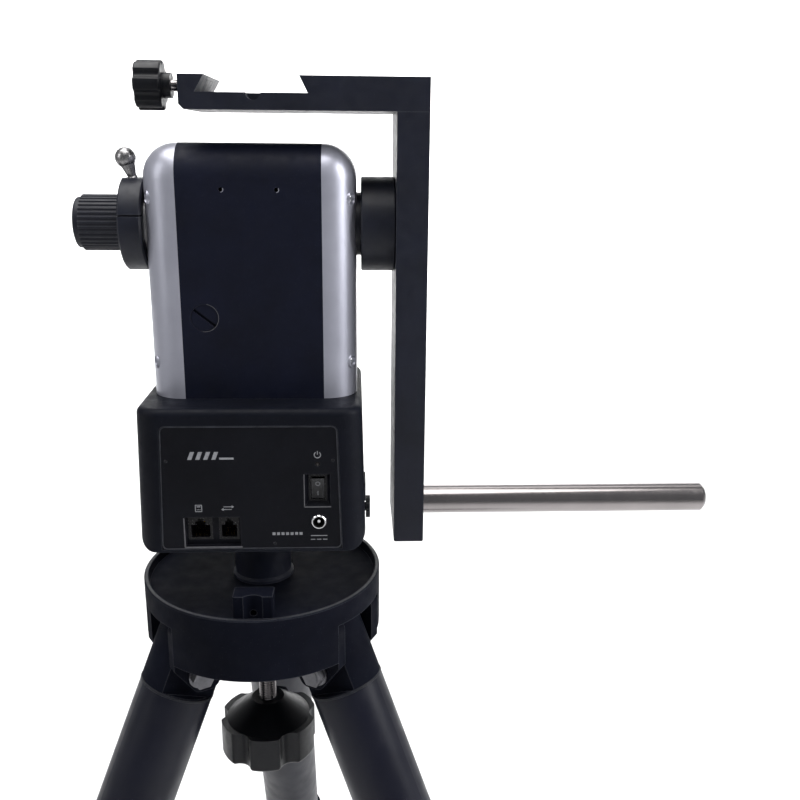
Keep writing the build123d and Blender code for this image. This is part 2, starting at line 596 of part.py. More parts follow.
# ================= azimuth post and tripod head =================
with BuildPart() as azimuth_post:
    with BuildSketch(Plane.XZ):
        with BuildLine():
            Polyline((0, DISH_FLOOR), (POST_R + 1.5, DISH_FLOOR), (POST_R + 1.5, DISH_FLOOR + 2),
                     (POST_R, DISH_FLOOR + 3.5), (POST_R, -303.0), (27.0, -292.0), (27.0, BASE_Z[0] - 0.6),
                     (SPIGOT_R, BASE_Z[0] - 0.6), (SPIGOT_R, -244.0), (0, -244.0), close=True)
        make_face()
    revolve(axis=Axis.Z)
    disc(Plane.XY, DISH_FLOOR - 1, -300, BOLT_R + FIT, mode=Mode.SUBTRACT)
keep("azimuth_post", azimuth_post)

with BuildPart() as az_worm_wheel:
    with BuildSketch(Plane.XY.offset(-262)):
        Circle(WHEEL_R)
        Circle(SPIGOT_R, mode=Mode.SUBTRACT)
        with PolarLocations(WHEEL_R + 0.2, 80):
            Circle(0.9, mode=Mode.SUBTRACT)
    extrude(amount=10)
keep("az_worm_wheel", az_worm_wheel)


def leg_plane(angle):
    """Leg frame: origin on the hinge pin, +Z up the leg, +X outward, +Y along the pin."""
    out = (cos(radians(angle)), sin(radians(angle)))
    s, c = sin(radians(LEAN)), cos(radians(LEAN))
    return Plane(origin=(HINGE_RADIUS * out[0], HINGE_RADIUS * out[1], HINGE_Z),
                 x_dir=(c * out[0], c * out[1], s), z_dir=(-s * out[0], -s * out[1], c))


def radial_plane(angle):
    """Upright plane through the axis and a leg: x outward, y up, normal along the hinge pin."""
    out = (cos(radians(angle)), sin(radians(angle)))
    return Plane(origin=(0, 0, 0), x_dir=(out[0], out[1], 0), z_dir=(out[1], -out[0], 0))


with BuildPart() as tripod_dish:
    with BuildSketch(Plane.XZ):
        with BuildLine():
            Polyline((BOLT_R + FIT, DISH_FLOOR), (DISH_R - 4, DISH_FLOOR), (DISH_R - 3, DISH_TOP),
                     (DISH_R - 0.6, DISH_TOP), (DISH_R, DISH_TOP - 0.8), (DISH_R, SKIRT_BOTTOM),
                     (DISH_R - 5, SKIRT_BOTTOM), (DISH_R - 5, DISH_UNDER), (17, DISH_UNDER),
                     (17, -352), (BOLT_R + FIT, -352), close=True)
        make_face()
    revolve(axis=Axis.Z)
    for angle in LEG_ANGLES:
        side = radial_plane(angle)
        reach = TONGUE + GAP
        # opening between the ears, then the two ears
        prism(side, -reach - EAR, reach + EAR,
              ((45, DISH_UNDER), (95, DISH_UNDER), (95, -420), (45, -420)), mode=Mode.SUBTRACT)
        with BuildSketch(side.offset(reach)) as ear:
            with BuildLine():
                Polyline((34, DISH_UNDER), (79, DISH_UNDER), (79, -371), (64, -392),
                         (50, -392), (34, -362), close=True)
            make_face()
            fillet(ear.vertices().group_by(Axis.Y)[0], 7)
            fillet(ear.vertices().sort_by(Axis.X)[-1], 7)
        extrude(ear.sketch, amount=EAR)
        extrude(ear.sketch.translate(side.z_dir * (-2 * reach)), amount=-EAR)
        disc(Plane(origin=leg_plane(angle).origin, z_dir=side.z_dir), -40, 40, HINGE_BOLT_R + 0.02,
             mode=Mode.SUBTRACT)
keep("tripod_dish", tripod_dish)

with BuildPart() as alignment_block:
    block((-13, 13), (-72, -58), (DISH_FLOOR, DISH_FLOOR + 17))
    fillet(alignment_block.edges().filter_by(Axis.Z), 1.2)
    # upright groove down the front, and a cross hole near its foot
    disc(Plane(origin=(0, -77, 0), z_dir=(0, 0, 1)), DISH_FLOOR - 1, DISH_FLOOR + 18, 8.0,
         mode=Mode.SUBTRACT)
    disc(Plane(origin=(0, 0, DISH_FLOOR + 4), z_dir=(0, -1, 0)), 62, 75, 2.2, mode=Mode.SUBTRACT)
keep("alignment_block", alignment_block)

with BuildPart() as hinge_bolts:
    for angle in LEG_ANGLES:
        pin = Plane(origin=leg_plane(angle).origin, z_dir=leg_plane(angle).y_dir)
        end = TONGUE + GAP + EAR
        disc(pin, -end - 6.5, end, HINGE_BOLT_R)
        disc(pin, end, end + 1.2, 9.0)
        disc(pin, -end, -end - 1.2, 9.0, inner=HINGE_BOLT_R)
        for start, height in ((end + 1.2, 5.0), (-end - 1.2, -5.0)):
            with BuildSketch(pin.offset(start)) as hexagon:
                RegularPolygon(8.0, 6)
            extrude(hexagon.sketch, amount=height)
keep("hinge_bolts", hinge_bolts)

with BuildPart() as center_bolt:
    disc(Plane.XY, -455.0, -301.0, BOLT_R)
keep("center_bolt", center_bolt)

with BuildPart() as center_knob:
    fluted(Plane.XY, -473.0, -446.0, 35.5, 6, 9.0, 40.0)
    fillet(center_knob.edges().group_by(Axis.Z)[0], 3)
    with BuildSketch(Plane.XY.offset(-446.0)):
        Circle(31)
    with BuildSketch(Plane.XY.offset(-431.0)):
        Circle(12)
    loft()
    disc(Plane.XY, -455.0, -430, BOLT_R, mode=Mode.SUBTRACT)
keep("center_knob", center_knob)

# ================= legs =================
FOOT_TOP = 620.0
LOCK_AT = 380.0             # lock knob, down the leg
FOOT_R = 27.0

for number, angle in enumerate(LEG_ANGLES, start=1):
    leg = leg_plane(angle)
    profile_plane = Plane(origin=leg.origin, x_dir=leg.x_dir, z_dir=leg.y_dir * -1)
    lock = Plane(origin=leg.origin - leg.z_dir * LOCK_AT, z_dir=leg.x_dir)

    with BuildPart() as leg_cap:
        disc(leg, -44, 31, LEG_R)
        prism(profile_plane, -40, 40,
              ((-27, -45), (27, -45), (27, 31), (4, 31), (-18, 14), (-27, -8)), mode=Mode.INTERSECT)
        disc(leg, -46, -20, 40, inner=LEG_BORE, mode=Mode.SUBTRACT)
        for side in (-1, 1):
            with Locations(leg.offset(20).location * Location((0, side * (TONGUE + 20), 0))):
                Box(80, 40, 80, mode=Mode.SUBTRACT)
        disc(profile_plane, -40, 40, HINGE_BOLT_R + FIT, mode=Mode.SUBTRACT)
    keep(f"leg_cap_{number}", leg_cap)

    with BuildPart() as leg_tube:
        disc(leg, -20, -COLLAR_TOP - 14, LEG_R, inner=LEG_BORE)
        fillet(leg_tube.edges().filter_by(GeomType.CIRCLE).sort_by(Axis.Z)[-1], 1.0)
    keep(f"leg_tube_{number}", leg_tube)

    with BuildPart() as leg_collar:
        disc(leg, -COLLAR_TOP, -COLLAR_END, LEG_R + 4.0, inner=LEG_R)
        disc(leg, -COLLAR_TOP - 14, -COLLAR_END, LEG_R + 1, inner=INNER_R + GAP)
        disc(lock, INNER_R + 1.5, LEG_R + 9.0, 9.0)
        disc(lock, INNER_R - 1, LEG_R + 10, 4.0 + FIT, mode=Mode.SUBTRACT)
    keep(f"leg_collar_{number}", leg_collar)

    with BuildPart() as lock_knob:
        fluted(lock, LEG_R + 9.4, LEG_R + 23.0, 15.0, 6, 4.2, 17.2)
        disc(lock, INNER_R + 0.8, LEG_R + 9.4, 4.0)
    keep(f"lock_knob_{number}", lock_knob)

    with BuildPart() as lower_tube:
        disc(leg, -60, -FOOT_TOP - 15, INNER_R, inner=INNER_R - 2.0)
    keep(f"lower_tube_{number}", lower_tube)

    with BuildPart() as foot:
        disc(leg, -FOOT_TOP, -FOOT_TOP - 15, FOOT_R, inner=INNER_R)
        disc(leg, -FOOT_TOP - 15, -FOOT_TOP - 60, FOOT_R)
        split(bisect_by=Plane.XY.offset(FLOOR_Z), keep=Keep.TOP)
    keep(f"foot_{number}", foot)

os.makedirs("parts", exist_ok=True)
for name, piece in pieces.items():
    export_step(piece, f"parts/{name}.step")
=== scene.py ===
"""Materials, fine detail, light and camera for the star tracker mount."""

import json
import math

import bmesh
import bpy
from mathutils import Matrix, Vector


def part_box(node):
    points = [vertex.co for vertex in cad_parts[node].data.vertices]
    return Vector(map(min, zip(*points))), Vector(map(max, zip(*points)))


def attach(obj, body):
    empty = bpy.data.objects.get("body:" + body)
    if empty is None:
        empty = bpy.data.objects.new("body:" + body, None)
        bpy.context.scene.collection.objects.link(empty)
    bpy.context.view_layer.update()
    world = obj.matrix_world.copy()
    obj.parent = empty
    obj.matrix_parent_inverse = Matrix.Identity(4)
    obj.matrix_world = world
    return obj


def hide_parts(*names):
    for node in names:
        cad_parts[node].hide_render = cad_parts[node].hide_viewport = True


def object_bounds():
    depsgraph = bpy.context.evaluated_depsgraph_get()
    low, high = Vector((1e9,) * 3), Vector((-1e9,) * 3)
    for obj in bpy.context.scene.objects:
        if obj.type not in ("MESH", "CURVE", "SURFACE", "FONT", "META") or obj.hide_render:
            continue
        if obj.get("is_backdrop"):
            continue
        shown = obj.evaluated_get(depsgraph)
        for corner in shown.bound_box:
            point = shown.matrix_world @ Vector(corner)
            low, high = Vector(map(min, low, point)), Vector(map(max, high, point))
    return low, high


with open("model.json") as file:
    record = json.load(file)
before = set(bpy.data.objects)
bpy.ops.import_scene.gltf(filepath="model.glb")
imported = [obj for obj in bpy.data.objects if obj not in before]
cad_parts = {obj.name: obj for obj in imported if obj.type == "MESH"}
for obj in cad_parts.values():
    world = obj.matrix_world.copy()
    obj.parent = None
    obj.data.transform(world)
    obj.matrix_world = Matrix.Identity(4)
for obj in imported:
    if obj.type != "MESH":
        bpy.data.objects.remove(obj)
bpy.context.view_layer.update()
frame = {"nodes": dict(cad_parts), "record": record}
nodes = frame["nodes"]
MM = 0.001

# Sizes of the finished part that the trim follows, in mm.
SUNK = 0.02                 # how far a printed mark starts below its face
PANEL_FLARE = 2.6           # the panel is this much wider at its foot, on each side
PANEL_CORNER = 3.9
# POCKET_FOOT and POCKET_SIDE place painted highlights on the lips of the jacks' pocket.
POCKET_FOOT = (-24.9, -280.9, 37.0, 1.2)    # lip under the pocket of the two jacks: x, z, width, height
POCKET_SIDE = (-43.1, -270.6, 0.9, 20.2)    # lip at its left side
TYPE_MARK = (14.0, -271.8)  # first of seven small squares
ROCKER_PIVOT_Y = -54.3
ROCKER_TILT = 7.0           # degrees, as the rocker stands
ROCKER_HALF = 7.0           # from the rocker's middle to its end
ROCKER_RISE = 0.8           # its end stands this much further out than its middle
BAND_HOLES = (-14.7, 19.1)
BAND_HOLE_Z = -56.4
SHELL_SCREW_Y = (-24.0, 24.0)
SHELL_SCREW_Z = (-62.0, -166.0)
DISH_R = 83.6
FOOT_TREAD = 624.0          # first tread ring, down the leg from its hinge
TREAD_STEP = 4.5

# The camera: place in metres, angles in degrees, lens in mm.
CAMERA_PLACE = (0.0674, -0.6122, -0.0264)
CAMERA_YAW = 2.823          # to the right
CAMERA_PITCH = 15.779       # down
CAMERA_ROLL = 0.57
CAMERA_LENS = 41.4


# ---------------------------------------------------------------- materials
def surface(name, color, rough, metallic=0.0, specular=0.5, coat=0.0, coat_rough=0.2,
            grain=900.0, grain_bump=0.15, grain_depth=0.05, blotch=25.0, blotch_amount=0.25,
            rough_spread=0.08, stretch=(1.0, 1.0, 1.0), edge_highlight=0.0, edge_highlight_color=(0.3, 0.3, 0.32),
            specks=0.0, tint=None):
    """A shader whose colour, roughness and fine relief all vary over the surface.

    grain and blotch are the sizes of the fine and the broad noise, in cells per metre. stretch
    squeezes the fine noise along an axis, as brushing does. edge_highlight lightens the outer edges
    as a painted highlight, and specks adds sparse pale dust."""
    mat = bpy.data.materials.new(name)
    mat.use_nodes = True
    tree = mat.node_tree
    tree.nodes.clear()
    node = tree.nodes.new
    link = tree.links.new
    out = node("ShaderNodeOutputMaterial")
    shader = node("ShaderNodeBsdfPrincipled")
    link(shader.outputs[0], out.inputs[0])
    shader.inputs["Metallic"].default_value = metallic
    shader.inputs["Specular IOR Level"].default_value = specular
    shader.inputs["Coat Weight"].default_value = coat
    shader.inputs["Coat Roughness"].default_value = coat_rough

    coord = node("ShaderNodeTexCoord")
    squeeze = node("ShaderNodeMapping")
    squeeze.inputs["Scale"].default_value = stretch
    link(coord.outputs["Object"], squeeze.inputs[0])

    fine = node("ShaderNodeTexNoise")
    fine.inputs["Scale"].default_value = grain
    fine.inputs["Detail"].default_value = 3.0
    fine.inputs["Roughness"].default_value = 0.6
    link(squeeze.outputs[0], fine.inputs["Vector"])

    broad = node("ShaderNodeTexNoise")
    broad.inputs["Scale"].default_value = blotch
    broad.inputs["Detail"].default_value = 5.0
    broad.inputs["Roughness"].default_value = 0.65
    link(coord.outputs["Object"], broad.inputs["Vector"])

    tone = node("ShaderNodeValToRGB")
    low = [c * (1 - blotch_amount) for c in color]
    high = [min(1.0, c * (1 + blotch_amount)) for c in (tint or color)]
    tone.color_ramp.elements[0].position = 0.32
    tone.color_ramp.elements[0].color = (*low, 1)
    tone.color_ramp.elements[1].position = 0.68
    tone.color_ramp.elements[1].color = (*high, 1)
    link(broad.outputs["Fac"], tone.inputs[0])
    colour = tone.outputs[0]

    if specks:
        dust = node("ShaderNodeTexVoronoi")
        dust.inputs["Scale"].default_value = 420.0
        link(coord.outputs["Object"], dust.inputs["Vector"])
        dot = node("ShaderNodeValToRGB")
        dot.color_ramp.elements[0].position = 0.05
        dot.color_ramp.elements[0].color = (specks, specks, specks, 1)
        dot.color_ramp.elements[1].position = 0.11
        dot.color_ramp.elements[1].color = (0, 0, 0, 1)
        link(dust.outputs["Distance"], dot.inputs[0])
        sprinkle = node("ShaderNodeMix")
        sprinkle.data_type = "RGBA"
        sprinkle.inputs["B"].default_value = (0.35, 0.35, 0.36, 1)
        link(dot.outputs[0], sprinkle.inputs["Factor"])
        link(colour, sprinkle.inputs["A"])
        colour = sprinkle.outputs["Result"]

    # Painted highlight: a lighter colour mixed in along the sharp edges, uneven with the broad noise.
    if edge_highlight:
        rounded = node("ShaderNodeBevel")
        rounded.inputs["Radius"].default_value = 0.0009
        geometry = node("ShaderNodeNewGeometry")
        turn = node("ShaderNodeVectorMath")
        turn.operation = "DOT_PRODUCT"
        link(rounded.outputs[0], turn.inputs[0])
        link(geometry.outputs["Normal"], turn.inputs[1])
        edge = node("ShaderNodeMapRange")
        edge.inputs["From Min"].default_value = 0.985
        edge.inputs["From Max"].default_value = 0.86
        link(turn.outputs["Value"], edge.inputs["Value"])
        uneven = node("ShaderNodeMath")
        uneven.operation = "MULTIPLY"
        link(edge.outputs[0], uneven.inputs[0])
        link(broad.outputs["Fac"], uneven.inputs[1])
        amount = node("ShaderNodeMath")
        amount.operation = "MULTIPLY"
        amount.inputs[1].default_value = edge_highlight
        link(uneven.outputs[0], amount.inputs[0])
        highlighted = node("ShaderNodeMix")
        highlighted.data_type = "RGBA"
        highlighted.inputs["B"].default_value = (*edge_highlight_color, 1)
        link(amount.outputs[0], highlighted.inputs["Factor"])
        link(colour, highlighted.inputs["A"])
        colour = highlighted.outputs["Result"]
    link(colour, shader.inputs["Base Color"])

    mid = node("ShaderNodeTexNoise")
    mid.inputs["Scale"].default_value = blotch * 7
    mid.inputs["Detail"].default_value = 4.0
    link(squeeze.outputs[0], mid.inputs["Vector"])
    gloss = node("ShaderNodeMapRange")
    gloss.inputs["From Min"].default_value = 0.3
    gloss.inputs["From Max"].default_value = 0.7
    gloss.inputs["To Min"].default_value = max(0.02, rough - rough_spread)
    gloss.inputs["To Max"].default_value = min(1.0, rough + rough_spread)
    link(mid.outputs["Fac"], gloss.inputs["Value"])
    link(gloss.outputs[0], shader.inputs["Roughness"])

    relief = node("ShaderNodeBump")
    relief.inputs["Strength"].default_value = grain_bump
    relief.inputs["Distance"].default_value = grain_depth * MM
    link(fine.outputs["Fac"], relief.inputs["Height"])
    link(relief.outputs[0], shader.inputs["Normal"])
    return mat


MATERIALS = {
    "anodised_black": surface("anodised_black", (0.0066, 0.0079, 0.0150), 0.46, specular=0.28, grain=2600,
                              grain_bump=0.22, edge_highlight=0.55, edge_highlight_color=(0.075, 0.077, 0.085), specks=0.04),
    "head_black": surface("head_black", (0.0023, 0.0034, 0.0108), 0.58, specular=0.15, grain=1900,
                          grain_bump=0.35, grain_depth=0.08, edge_highlight=0.4, edge_highlight_color=(0.04, 0.04, 0.045),
                          specks=0.04),
    "silver_shell": surface("silver_shell", (0.34, 0.345, 0.405), 0.40, metallic=0.55, grain=3200,
                            grain_bump=0.12, blotch=14, blotch_amount=0.05, coat=0.30, coat_rough=0.28,
                            tint=(0.36, 0.365, 0.42), rough_spread=0.05),
    "housing_black": surface("housing_black", (0.0026, 0.0033, 0.0066), 0.55, specular=0.10, grain=1500,
                             grain_bump=0.45, grain_depth=0.10, blotch=18, edge_highlight=0.5,
                             edge_highlight_color=(0.07, 0.077, 0.092), specks=0.04),
    "panel_black": surface("panel_black", (0.0030, 0.0034, 0.0056), 0.48, specular=0.11, grain=2400,
                           grain_bump=0.2, blotch=20, edge_highlight=0.5, edge_highlight_color=(0.07, 0.07, 0.08), specks=0.03),
    "knob_black": surface("knob_black", (0.0036, 0.0042, 0.0066), 0.40, specular=0.24, grain=1400,
                          grain_bump=0.25, edge_highlight=0.35, edge_highlight_color=(0.05, 0.05, 0.056), specks=0.08),
    "tripod_cast": surface("tripod_cast", (0.0032, 0.0040, 0.0082), 0.74, specular=0.05, grain=1100,
                           grain_bump=0.5, grain_depth=0.12, blotch=14, edge_highlight=0.7,
                           edge_highlight_color=(0.12, 0.125, 0.14), specks=0.05),
    "tube_black": surface("tube_black", (0.0036, 0.0044, 0.0115), 0.40, specular=0.22, grain=700,
                          grain_bump=0.12, blotch=10, specks=0.03,
                          tint=(0.0038, 0.0044, 0.0105)),
    "stainless": surface("stainless", (0.29, 0.27, 0.268), 0.22, metallic=1.0, grain=1500,
                         stretch=(14.0, 0.35, 0.35), grain_bump=0.30, grain_depth=0.008, blotch=22,
                         blotch_amount=0.08, rough_spread=0.04),
    "satin_lever": surface("satin_lever", (0.27, 0.265, 0.268), 0.33, metallic=1.0, grain=1300,
                           grain_bump=0.25, grain_depth=0.02, blotch=150, blotch_amount=0.35,
                           rough_spread=0.12),
    "chrome": surface("chrome", (0.74, 0.74, 0.75), 0.12, metallic=1.0, grain=800, grain_bump=0.04,
                      grain_depth=0.01, blotch=60, blotch_amount=0.06, rough_spread=0.05),
    "zinc_steel": surface("zinc_steel", (0.13, 0.13, 0.14), 0.44, metallic=1.0, grain=1200,
                          grain_bump=0.15, blotch=120, blotch_amount=0.18),
    "black_steel": surface("black_steel", (0.022, 0.022, 0.025), 0.35, metallic=0.8, specular=0.3,
                           grain=1500, grain_bump=0.15, blotch=90),
    "cast_alloy": surface("cast_alloy", (0.38, 0.38, 0.39), 0.5, metallic=0.9, grain=900,
                          grain_bump=0.4, blotch=30, blotch_amount=0.12),
    "gear_brass": surface("gear_brass", (0.66, 0.47, 0.19), 0.3, metallic=1.0, grain=900,
                          grain_bump=0.15, blotch=60, blotch_amount=0.1),
    "jack_black": surface("jack_black", (0.0035, 0.0035, 0.0042), 0.3, specular=0.3, grain=1800,
                          grain_bump=0.1, blotch=60, edge_highlight=0.4, edge_highlight_color=(0.06, 0.06, 0.07)),
    "rocker_black": surface("rocker_black", (0.010, 0.0105, 0.013), 0.36, specular=0.4, grain=1600,
                            grain_bump=0.15, blotch=80, edge_highlight=0.5, edge_highlight_color=(0.09, 0.09, 0.1)),
    "led_red": surface("led_red", (0.005, 0.0032, 0.0034), 0.2, specular=0.4, grain=900, grain_bump=0.05,
                       blotch=200, coat=0.3, coat_rough=0.1),
    "battery": surface("battery", (0.05, 0.08, 0.2), 0.35, grain=500, grain_bump=0.2, blotch=30),
    "motor_case": surface("motor_case", (0.3, 0.3, 0.31), 0.35, metallic=0.9, grain=1200,
                          grain_bump=0.1, blotch=40),
    "foot_rubber": surface("foot_rubber", (0.007, 0.007, 0.0075), 0.78, specular=0.3, grain=900,
                           grain_bump=0.5, grain_depth=0.15, blotch=40, blotch_amount=0.35, specks=0.08),
    "lower_tube": surface("lower_tube", (0.36, 0.365, 0.38), 0.3, metallic=1.0, grain=900,
                          stretch=(9.0, 9.0, 0.5), grain_bump=0.2, grain_depth=0.01, blotch=10,
                          blotch_amount=0.06),
}
CONTACT_GOLD = surface("contact_gold", (0.62, 0.44, 0.18), 0.25, metallic=1.0, grain=1500, blotch=200,
                       blotch_amount=0.1)
PRINT_GREY = surface("print_grey", (0.22, 0.225, 0.24), 0.6, grain=3000, grain_bump=0.2, blotch=300,
                     blotch_amount=0.25)
# Painted highlight: a dim grey for the lit lips of the panel's recesses and the plug's edge.
DIM_PAINTED_HIGHLIGHT = surface("dim_painted_highlight", (0.075, 0.075, 0.082), 0.6, grain=3000, grain_bump=0.2, blotch=300,
                    blotch_amount=0.25)
EDGE_GREY = surface("edge_grey", (0.030, 0.032, 0.040), 0.45, specular=0.3, grain=2000, grain_bump=0.2,
                    blotch=120, blotch_amount=0.4)
# Painted highlight: a lighter grey for the bright lines along the dish rim and the leg lips.
PAINTED_RIM_HIGHLIGHT = surface("painted_rim_highlight", (0.011, 0.012, 0.016), 0.5, specular=0.2, grain=2000, grain_bump=0.3,
                   blotch=90, blotch_amount=0.5)
# Painted shade: near black for the inside of the power jack and the screws' cross recesses.
PAINTED_HOLE_SHADE = surface("painted_hole_shade", (0.002, 0.002, 0.002), 0.7, specular=0.1, grain=900, grain_bump=0.1,
                    blotch=90)

for entry in frame["record"]["subparts"]:
    node_object = nodes[entry["node"]]
    node_object.data.materials.clear()
    node_object.data.materials.append(MATERIALS[entry["material_slot"]])
nodes["alt_lever"].data.materials[0] = MATERIALS["satin_lever"]
nodes["cover_screws"].data.materials[0] = MATERIALS["chrome"]


# ---------------------------------------------------------------- softened edges of the CAD pieces
def soften(name, width, angle=38.0):
    """Round a node's sharp edges by width (mm) and shade it from its large faces."""
    obj = nodes[name]
    weld = obj.modifiers.new("weld", "WELD")
    weld.merge_threshold = 1e-6
    bevel = obj.modifiers.new("bevel", "BEVEL")
    bevel.width = width * MM
    bevel.segments = 2
    bevel.limit_method = "ANGLE"
    bevel.angle_limit = math.radians(angle)
    bevel.use_clamp_overlap = True
    normals = obj.modifiers.new("normals", "WEIGHTED_NORMAL")
    normals.keep_sharp = False
    for polygon in obj.data.polygons:
        polygon.use_smooth = True


SOFT_EDGES = {"saddle_bar": 0.5, "vertical_bar": 0.5, "control_panel": 0.3, "switch_frame": 0.25,
              "power_rocker": 0.3, "handbox_jack": 0.2, "serial_jack": 0.2}
for node_name, edge_width in SOFT_EDGES.items():
    soften(node_name, edge_width)


# ---------------------------------------------------------------- mesh tools
def mesh_object(name, made, body, mat):
    """A finished bmesh as a smooth piece that rides on a body."""
    mesh = bpy.data.meshes.new(name)
    bmesh.ops.recalc_face_normals(made, faces=made.faces)
    made.to_mesh(mesh)
    made.free()
    mesh.materials.append(mat)
    obj = bpy.data.objects.new(name, mesh)
    bpy.context.scene.collection.objects.link(obj)
    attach(obj, body)
    return obj


def axis_frame(origin, axis):
    """A matrix whose Z runs along axis from origin."""
    turn = Vector(axis).to_track_quat("Z", "Y").to_matrix().to_4x4()
    return Matrix.Translation(origin) @ turn


def around(radius, height, turn):
    """The point at a radius, height (mm) and angle (radians) about Z."""
    return Vector((radius * math.cos(turn), radius * math.sin(turn), height)) * MM


def skin_rings(made, rings):
    """Faces between neighbouring rings of vertices, and a flat end on the first and last ring."""
    steps = len(rings[0])
    for lower, upper in zip(rings, rings[1:]):
        for step in range(steps):
            after = (step + 1) % steps
            made.faces.new((lower[step], lower[after], upper[after], upper[step]))
    made.faces.new(rings[0][::-1])
    made.faces.new(rings[-1])


def skin_loops(made, loops):
    """Faces between neighbouring loops of vertices, and from the last loop back to the first."""
    count = len(loops[0])
    for here, after in zip(loops, loops[1:] + loops[:1]):
        for i in range(count):
            j = (i + 1) % count
            made.faces.new((here[i], here[j], after[j], after[i]))


def raise_outline(made, points, lift):
    """A closed outline of points, given thickness along lift."""
    face = made.faces.new([made.verts.new(point) for point in points])
    grown = bmesh.ops.extrude_face_region(made, geom=[face])
    moved = [v for v in grown["geom"] if isinstance(v, bmesh.types.BMVert)]
    bmesh.ops.translate(made, verts=moved, vec=lift)


def lathe(name, profile, origin, axis, body, mat, steps=96):
    """Turn a profile of (radius, height) pairs in mm about an axis, and close its ends."""
    made = bmesh.new()
    place = axis_frame(origin, axis)
    turns = [2 * math.pi * step / steps for step in range(steps)]
    rings = [[made.verts.new(place @ around(radius, height, turn)) for turn in turns]
             for radius, height in profile]
    skin_rings(made, rings)
    obj = mesh_object(name, made, body, mat)
    for polygon in obj.data.polygons:
        polygon.use_smooth = len(polygon.vertices) == 4
    return obj


def thread(name, radius, depth, pitch, start, end, origin, axis, body, mat, steps=40):
    """A screw thread: a rod whose radius follows a helix, from start to end along the axis (mm)."""
    made = bmesh.new()
    place = axis_frame(origin, axis)
    per_pitch = 8
    rows = int((end - start) / pitch * per_pitch)
    rings = []
    for row in range(rows + 1):
        height = start + (end - start) * row / rows
        fade = min(1.0, row / per_pitch, (rows - row) / per_pitch)
        ring = []
        for step in range(steps):
            crest = abs(2 * ((height / pitch - step / steps) % 1.0) - 1)
            point = around(radius - depth * (1 - crest * fade), height, 2 * math.pi * step / steps)
            ring.append(made.verts.new(place @ point))
        rings.append(ring)
    skin_rings(made, rings)
    return mesh_object(name, made, body, mat)


def printed(name, outlines, face_y, body, mat, thickness=0.06):
    """Flat marks, print and painted highlights, laid on a face that looks to -Y: each outline is (x, z)
    points in mm.
    """
    made = bmesh.new()
    for outline in outlines:
        points = [(x * MM, face_y + SUNK * MM, z * MM) for x, z in outline]
        raise_outline(made, points, (0, -thickness * MM, 0))
    return mesh_object(name, made, body, mat)


def bar(x, z, width, height):
    """The outline of an upright rectangle about (x, z), in mm."""
    return [(x - width / 2, z - height / 2), (x + width / 2, z - height / 2),
            (x + width / 2, z + height / 2), (x - width / 2, z + height / 2)]


def arc_band(x, z, radius, stroke, start, end, steps=28):
    """Part of a ring, from start to end in degrees, as one outline."""
    turns = [math.radians(start + (end - start) * i / steps) for i in range(steps + 1)]
    outer, inner = ([(x + r * math.cos(t), z + r * math.sin(t)) for t in turns]
                    for r in (radius + stroke / 2, radius - stroke / 2))
    return outer + inner[::-1]


def ring_pair(x, z, radius, stroke):
    """A whole ring as two outlines."""
    return [arc_band(x, z, radius, stroke, 0, 180), arc_band(x, z, radius, stroke, 180, 360)]


def hoop(name, profile, origin, axis, body, mat, steps=96):
    """A ring: a closed outline of (radius, height) pairs in mm turned about an axis."""
    made = bmesh.new()
    place = axis_frame(origin, axis)
    turns = [2 * math.pi * step / steps for step in range(steps)]
    skin_loops(made, [[made.verts.new(place @ around(radius, height, turn)) for radius, height in profile]
                      for turn in turns])
    return mesh_object(name, made, body, mat)


def rounded(x, z, radius, steps=8):
    """The outline of a rectangle with round corners, as (x, z) points in mm."""
    points = []
    for cx, cz, start in ((x[1] - radius, z[1] - radius, 0), (x[0] + radius, z[1] - radius, 90),
                          (x[0] + radius, z[0] + radius, 180), (x[1] - radius, z[0] + radius, 270)):
        turns = [math.radians(start + 90 * i / steps) for i in range(steps + 1)]
        points += [(cx + radius * math.cos(t), cz + radius * math.sin(t)) for t in turns]
    return points


def bead(name, outer, inner, front, back, body, mat):
    """A closed bead between two outlines of equal length, from depth front to depth back (mm)."""
    made = bmesh.new()
    section = ((outer, back), (outer, front + 0.2), (inner, front), (inner, back))
    skin_loops(made, [[made.verts.new((x * MM, y * MM, z * MM)) for x, z in outline]
                      for outline, y in section])
    return mesh_object(name, made, body, mat)


def centre_mm(node):
    """The middle of a node's box, in mm."""
    low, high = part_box(node)
    return (low + high) / 2 / MM


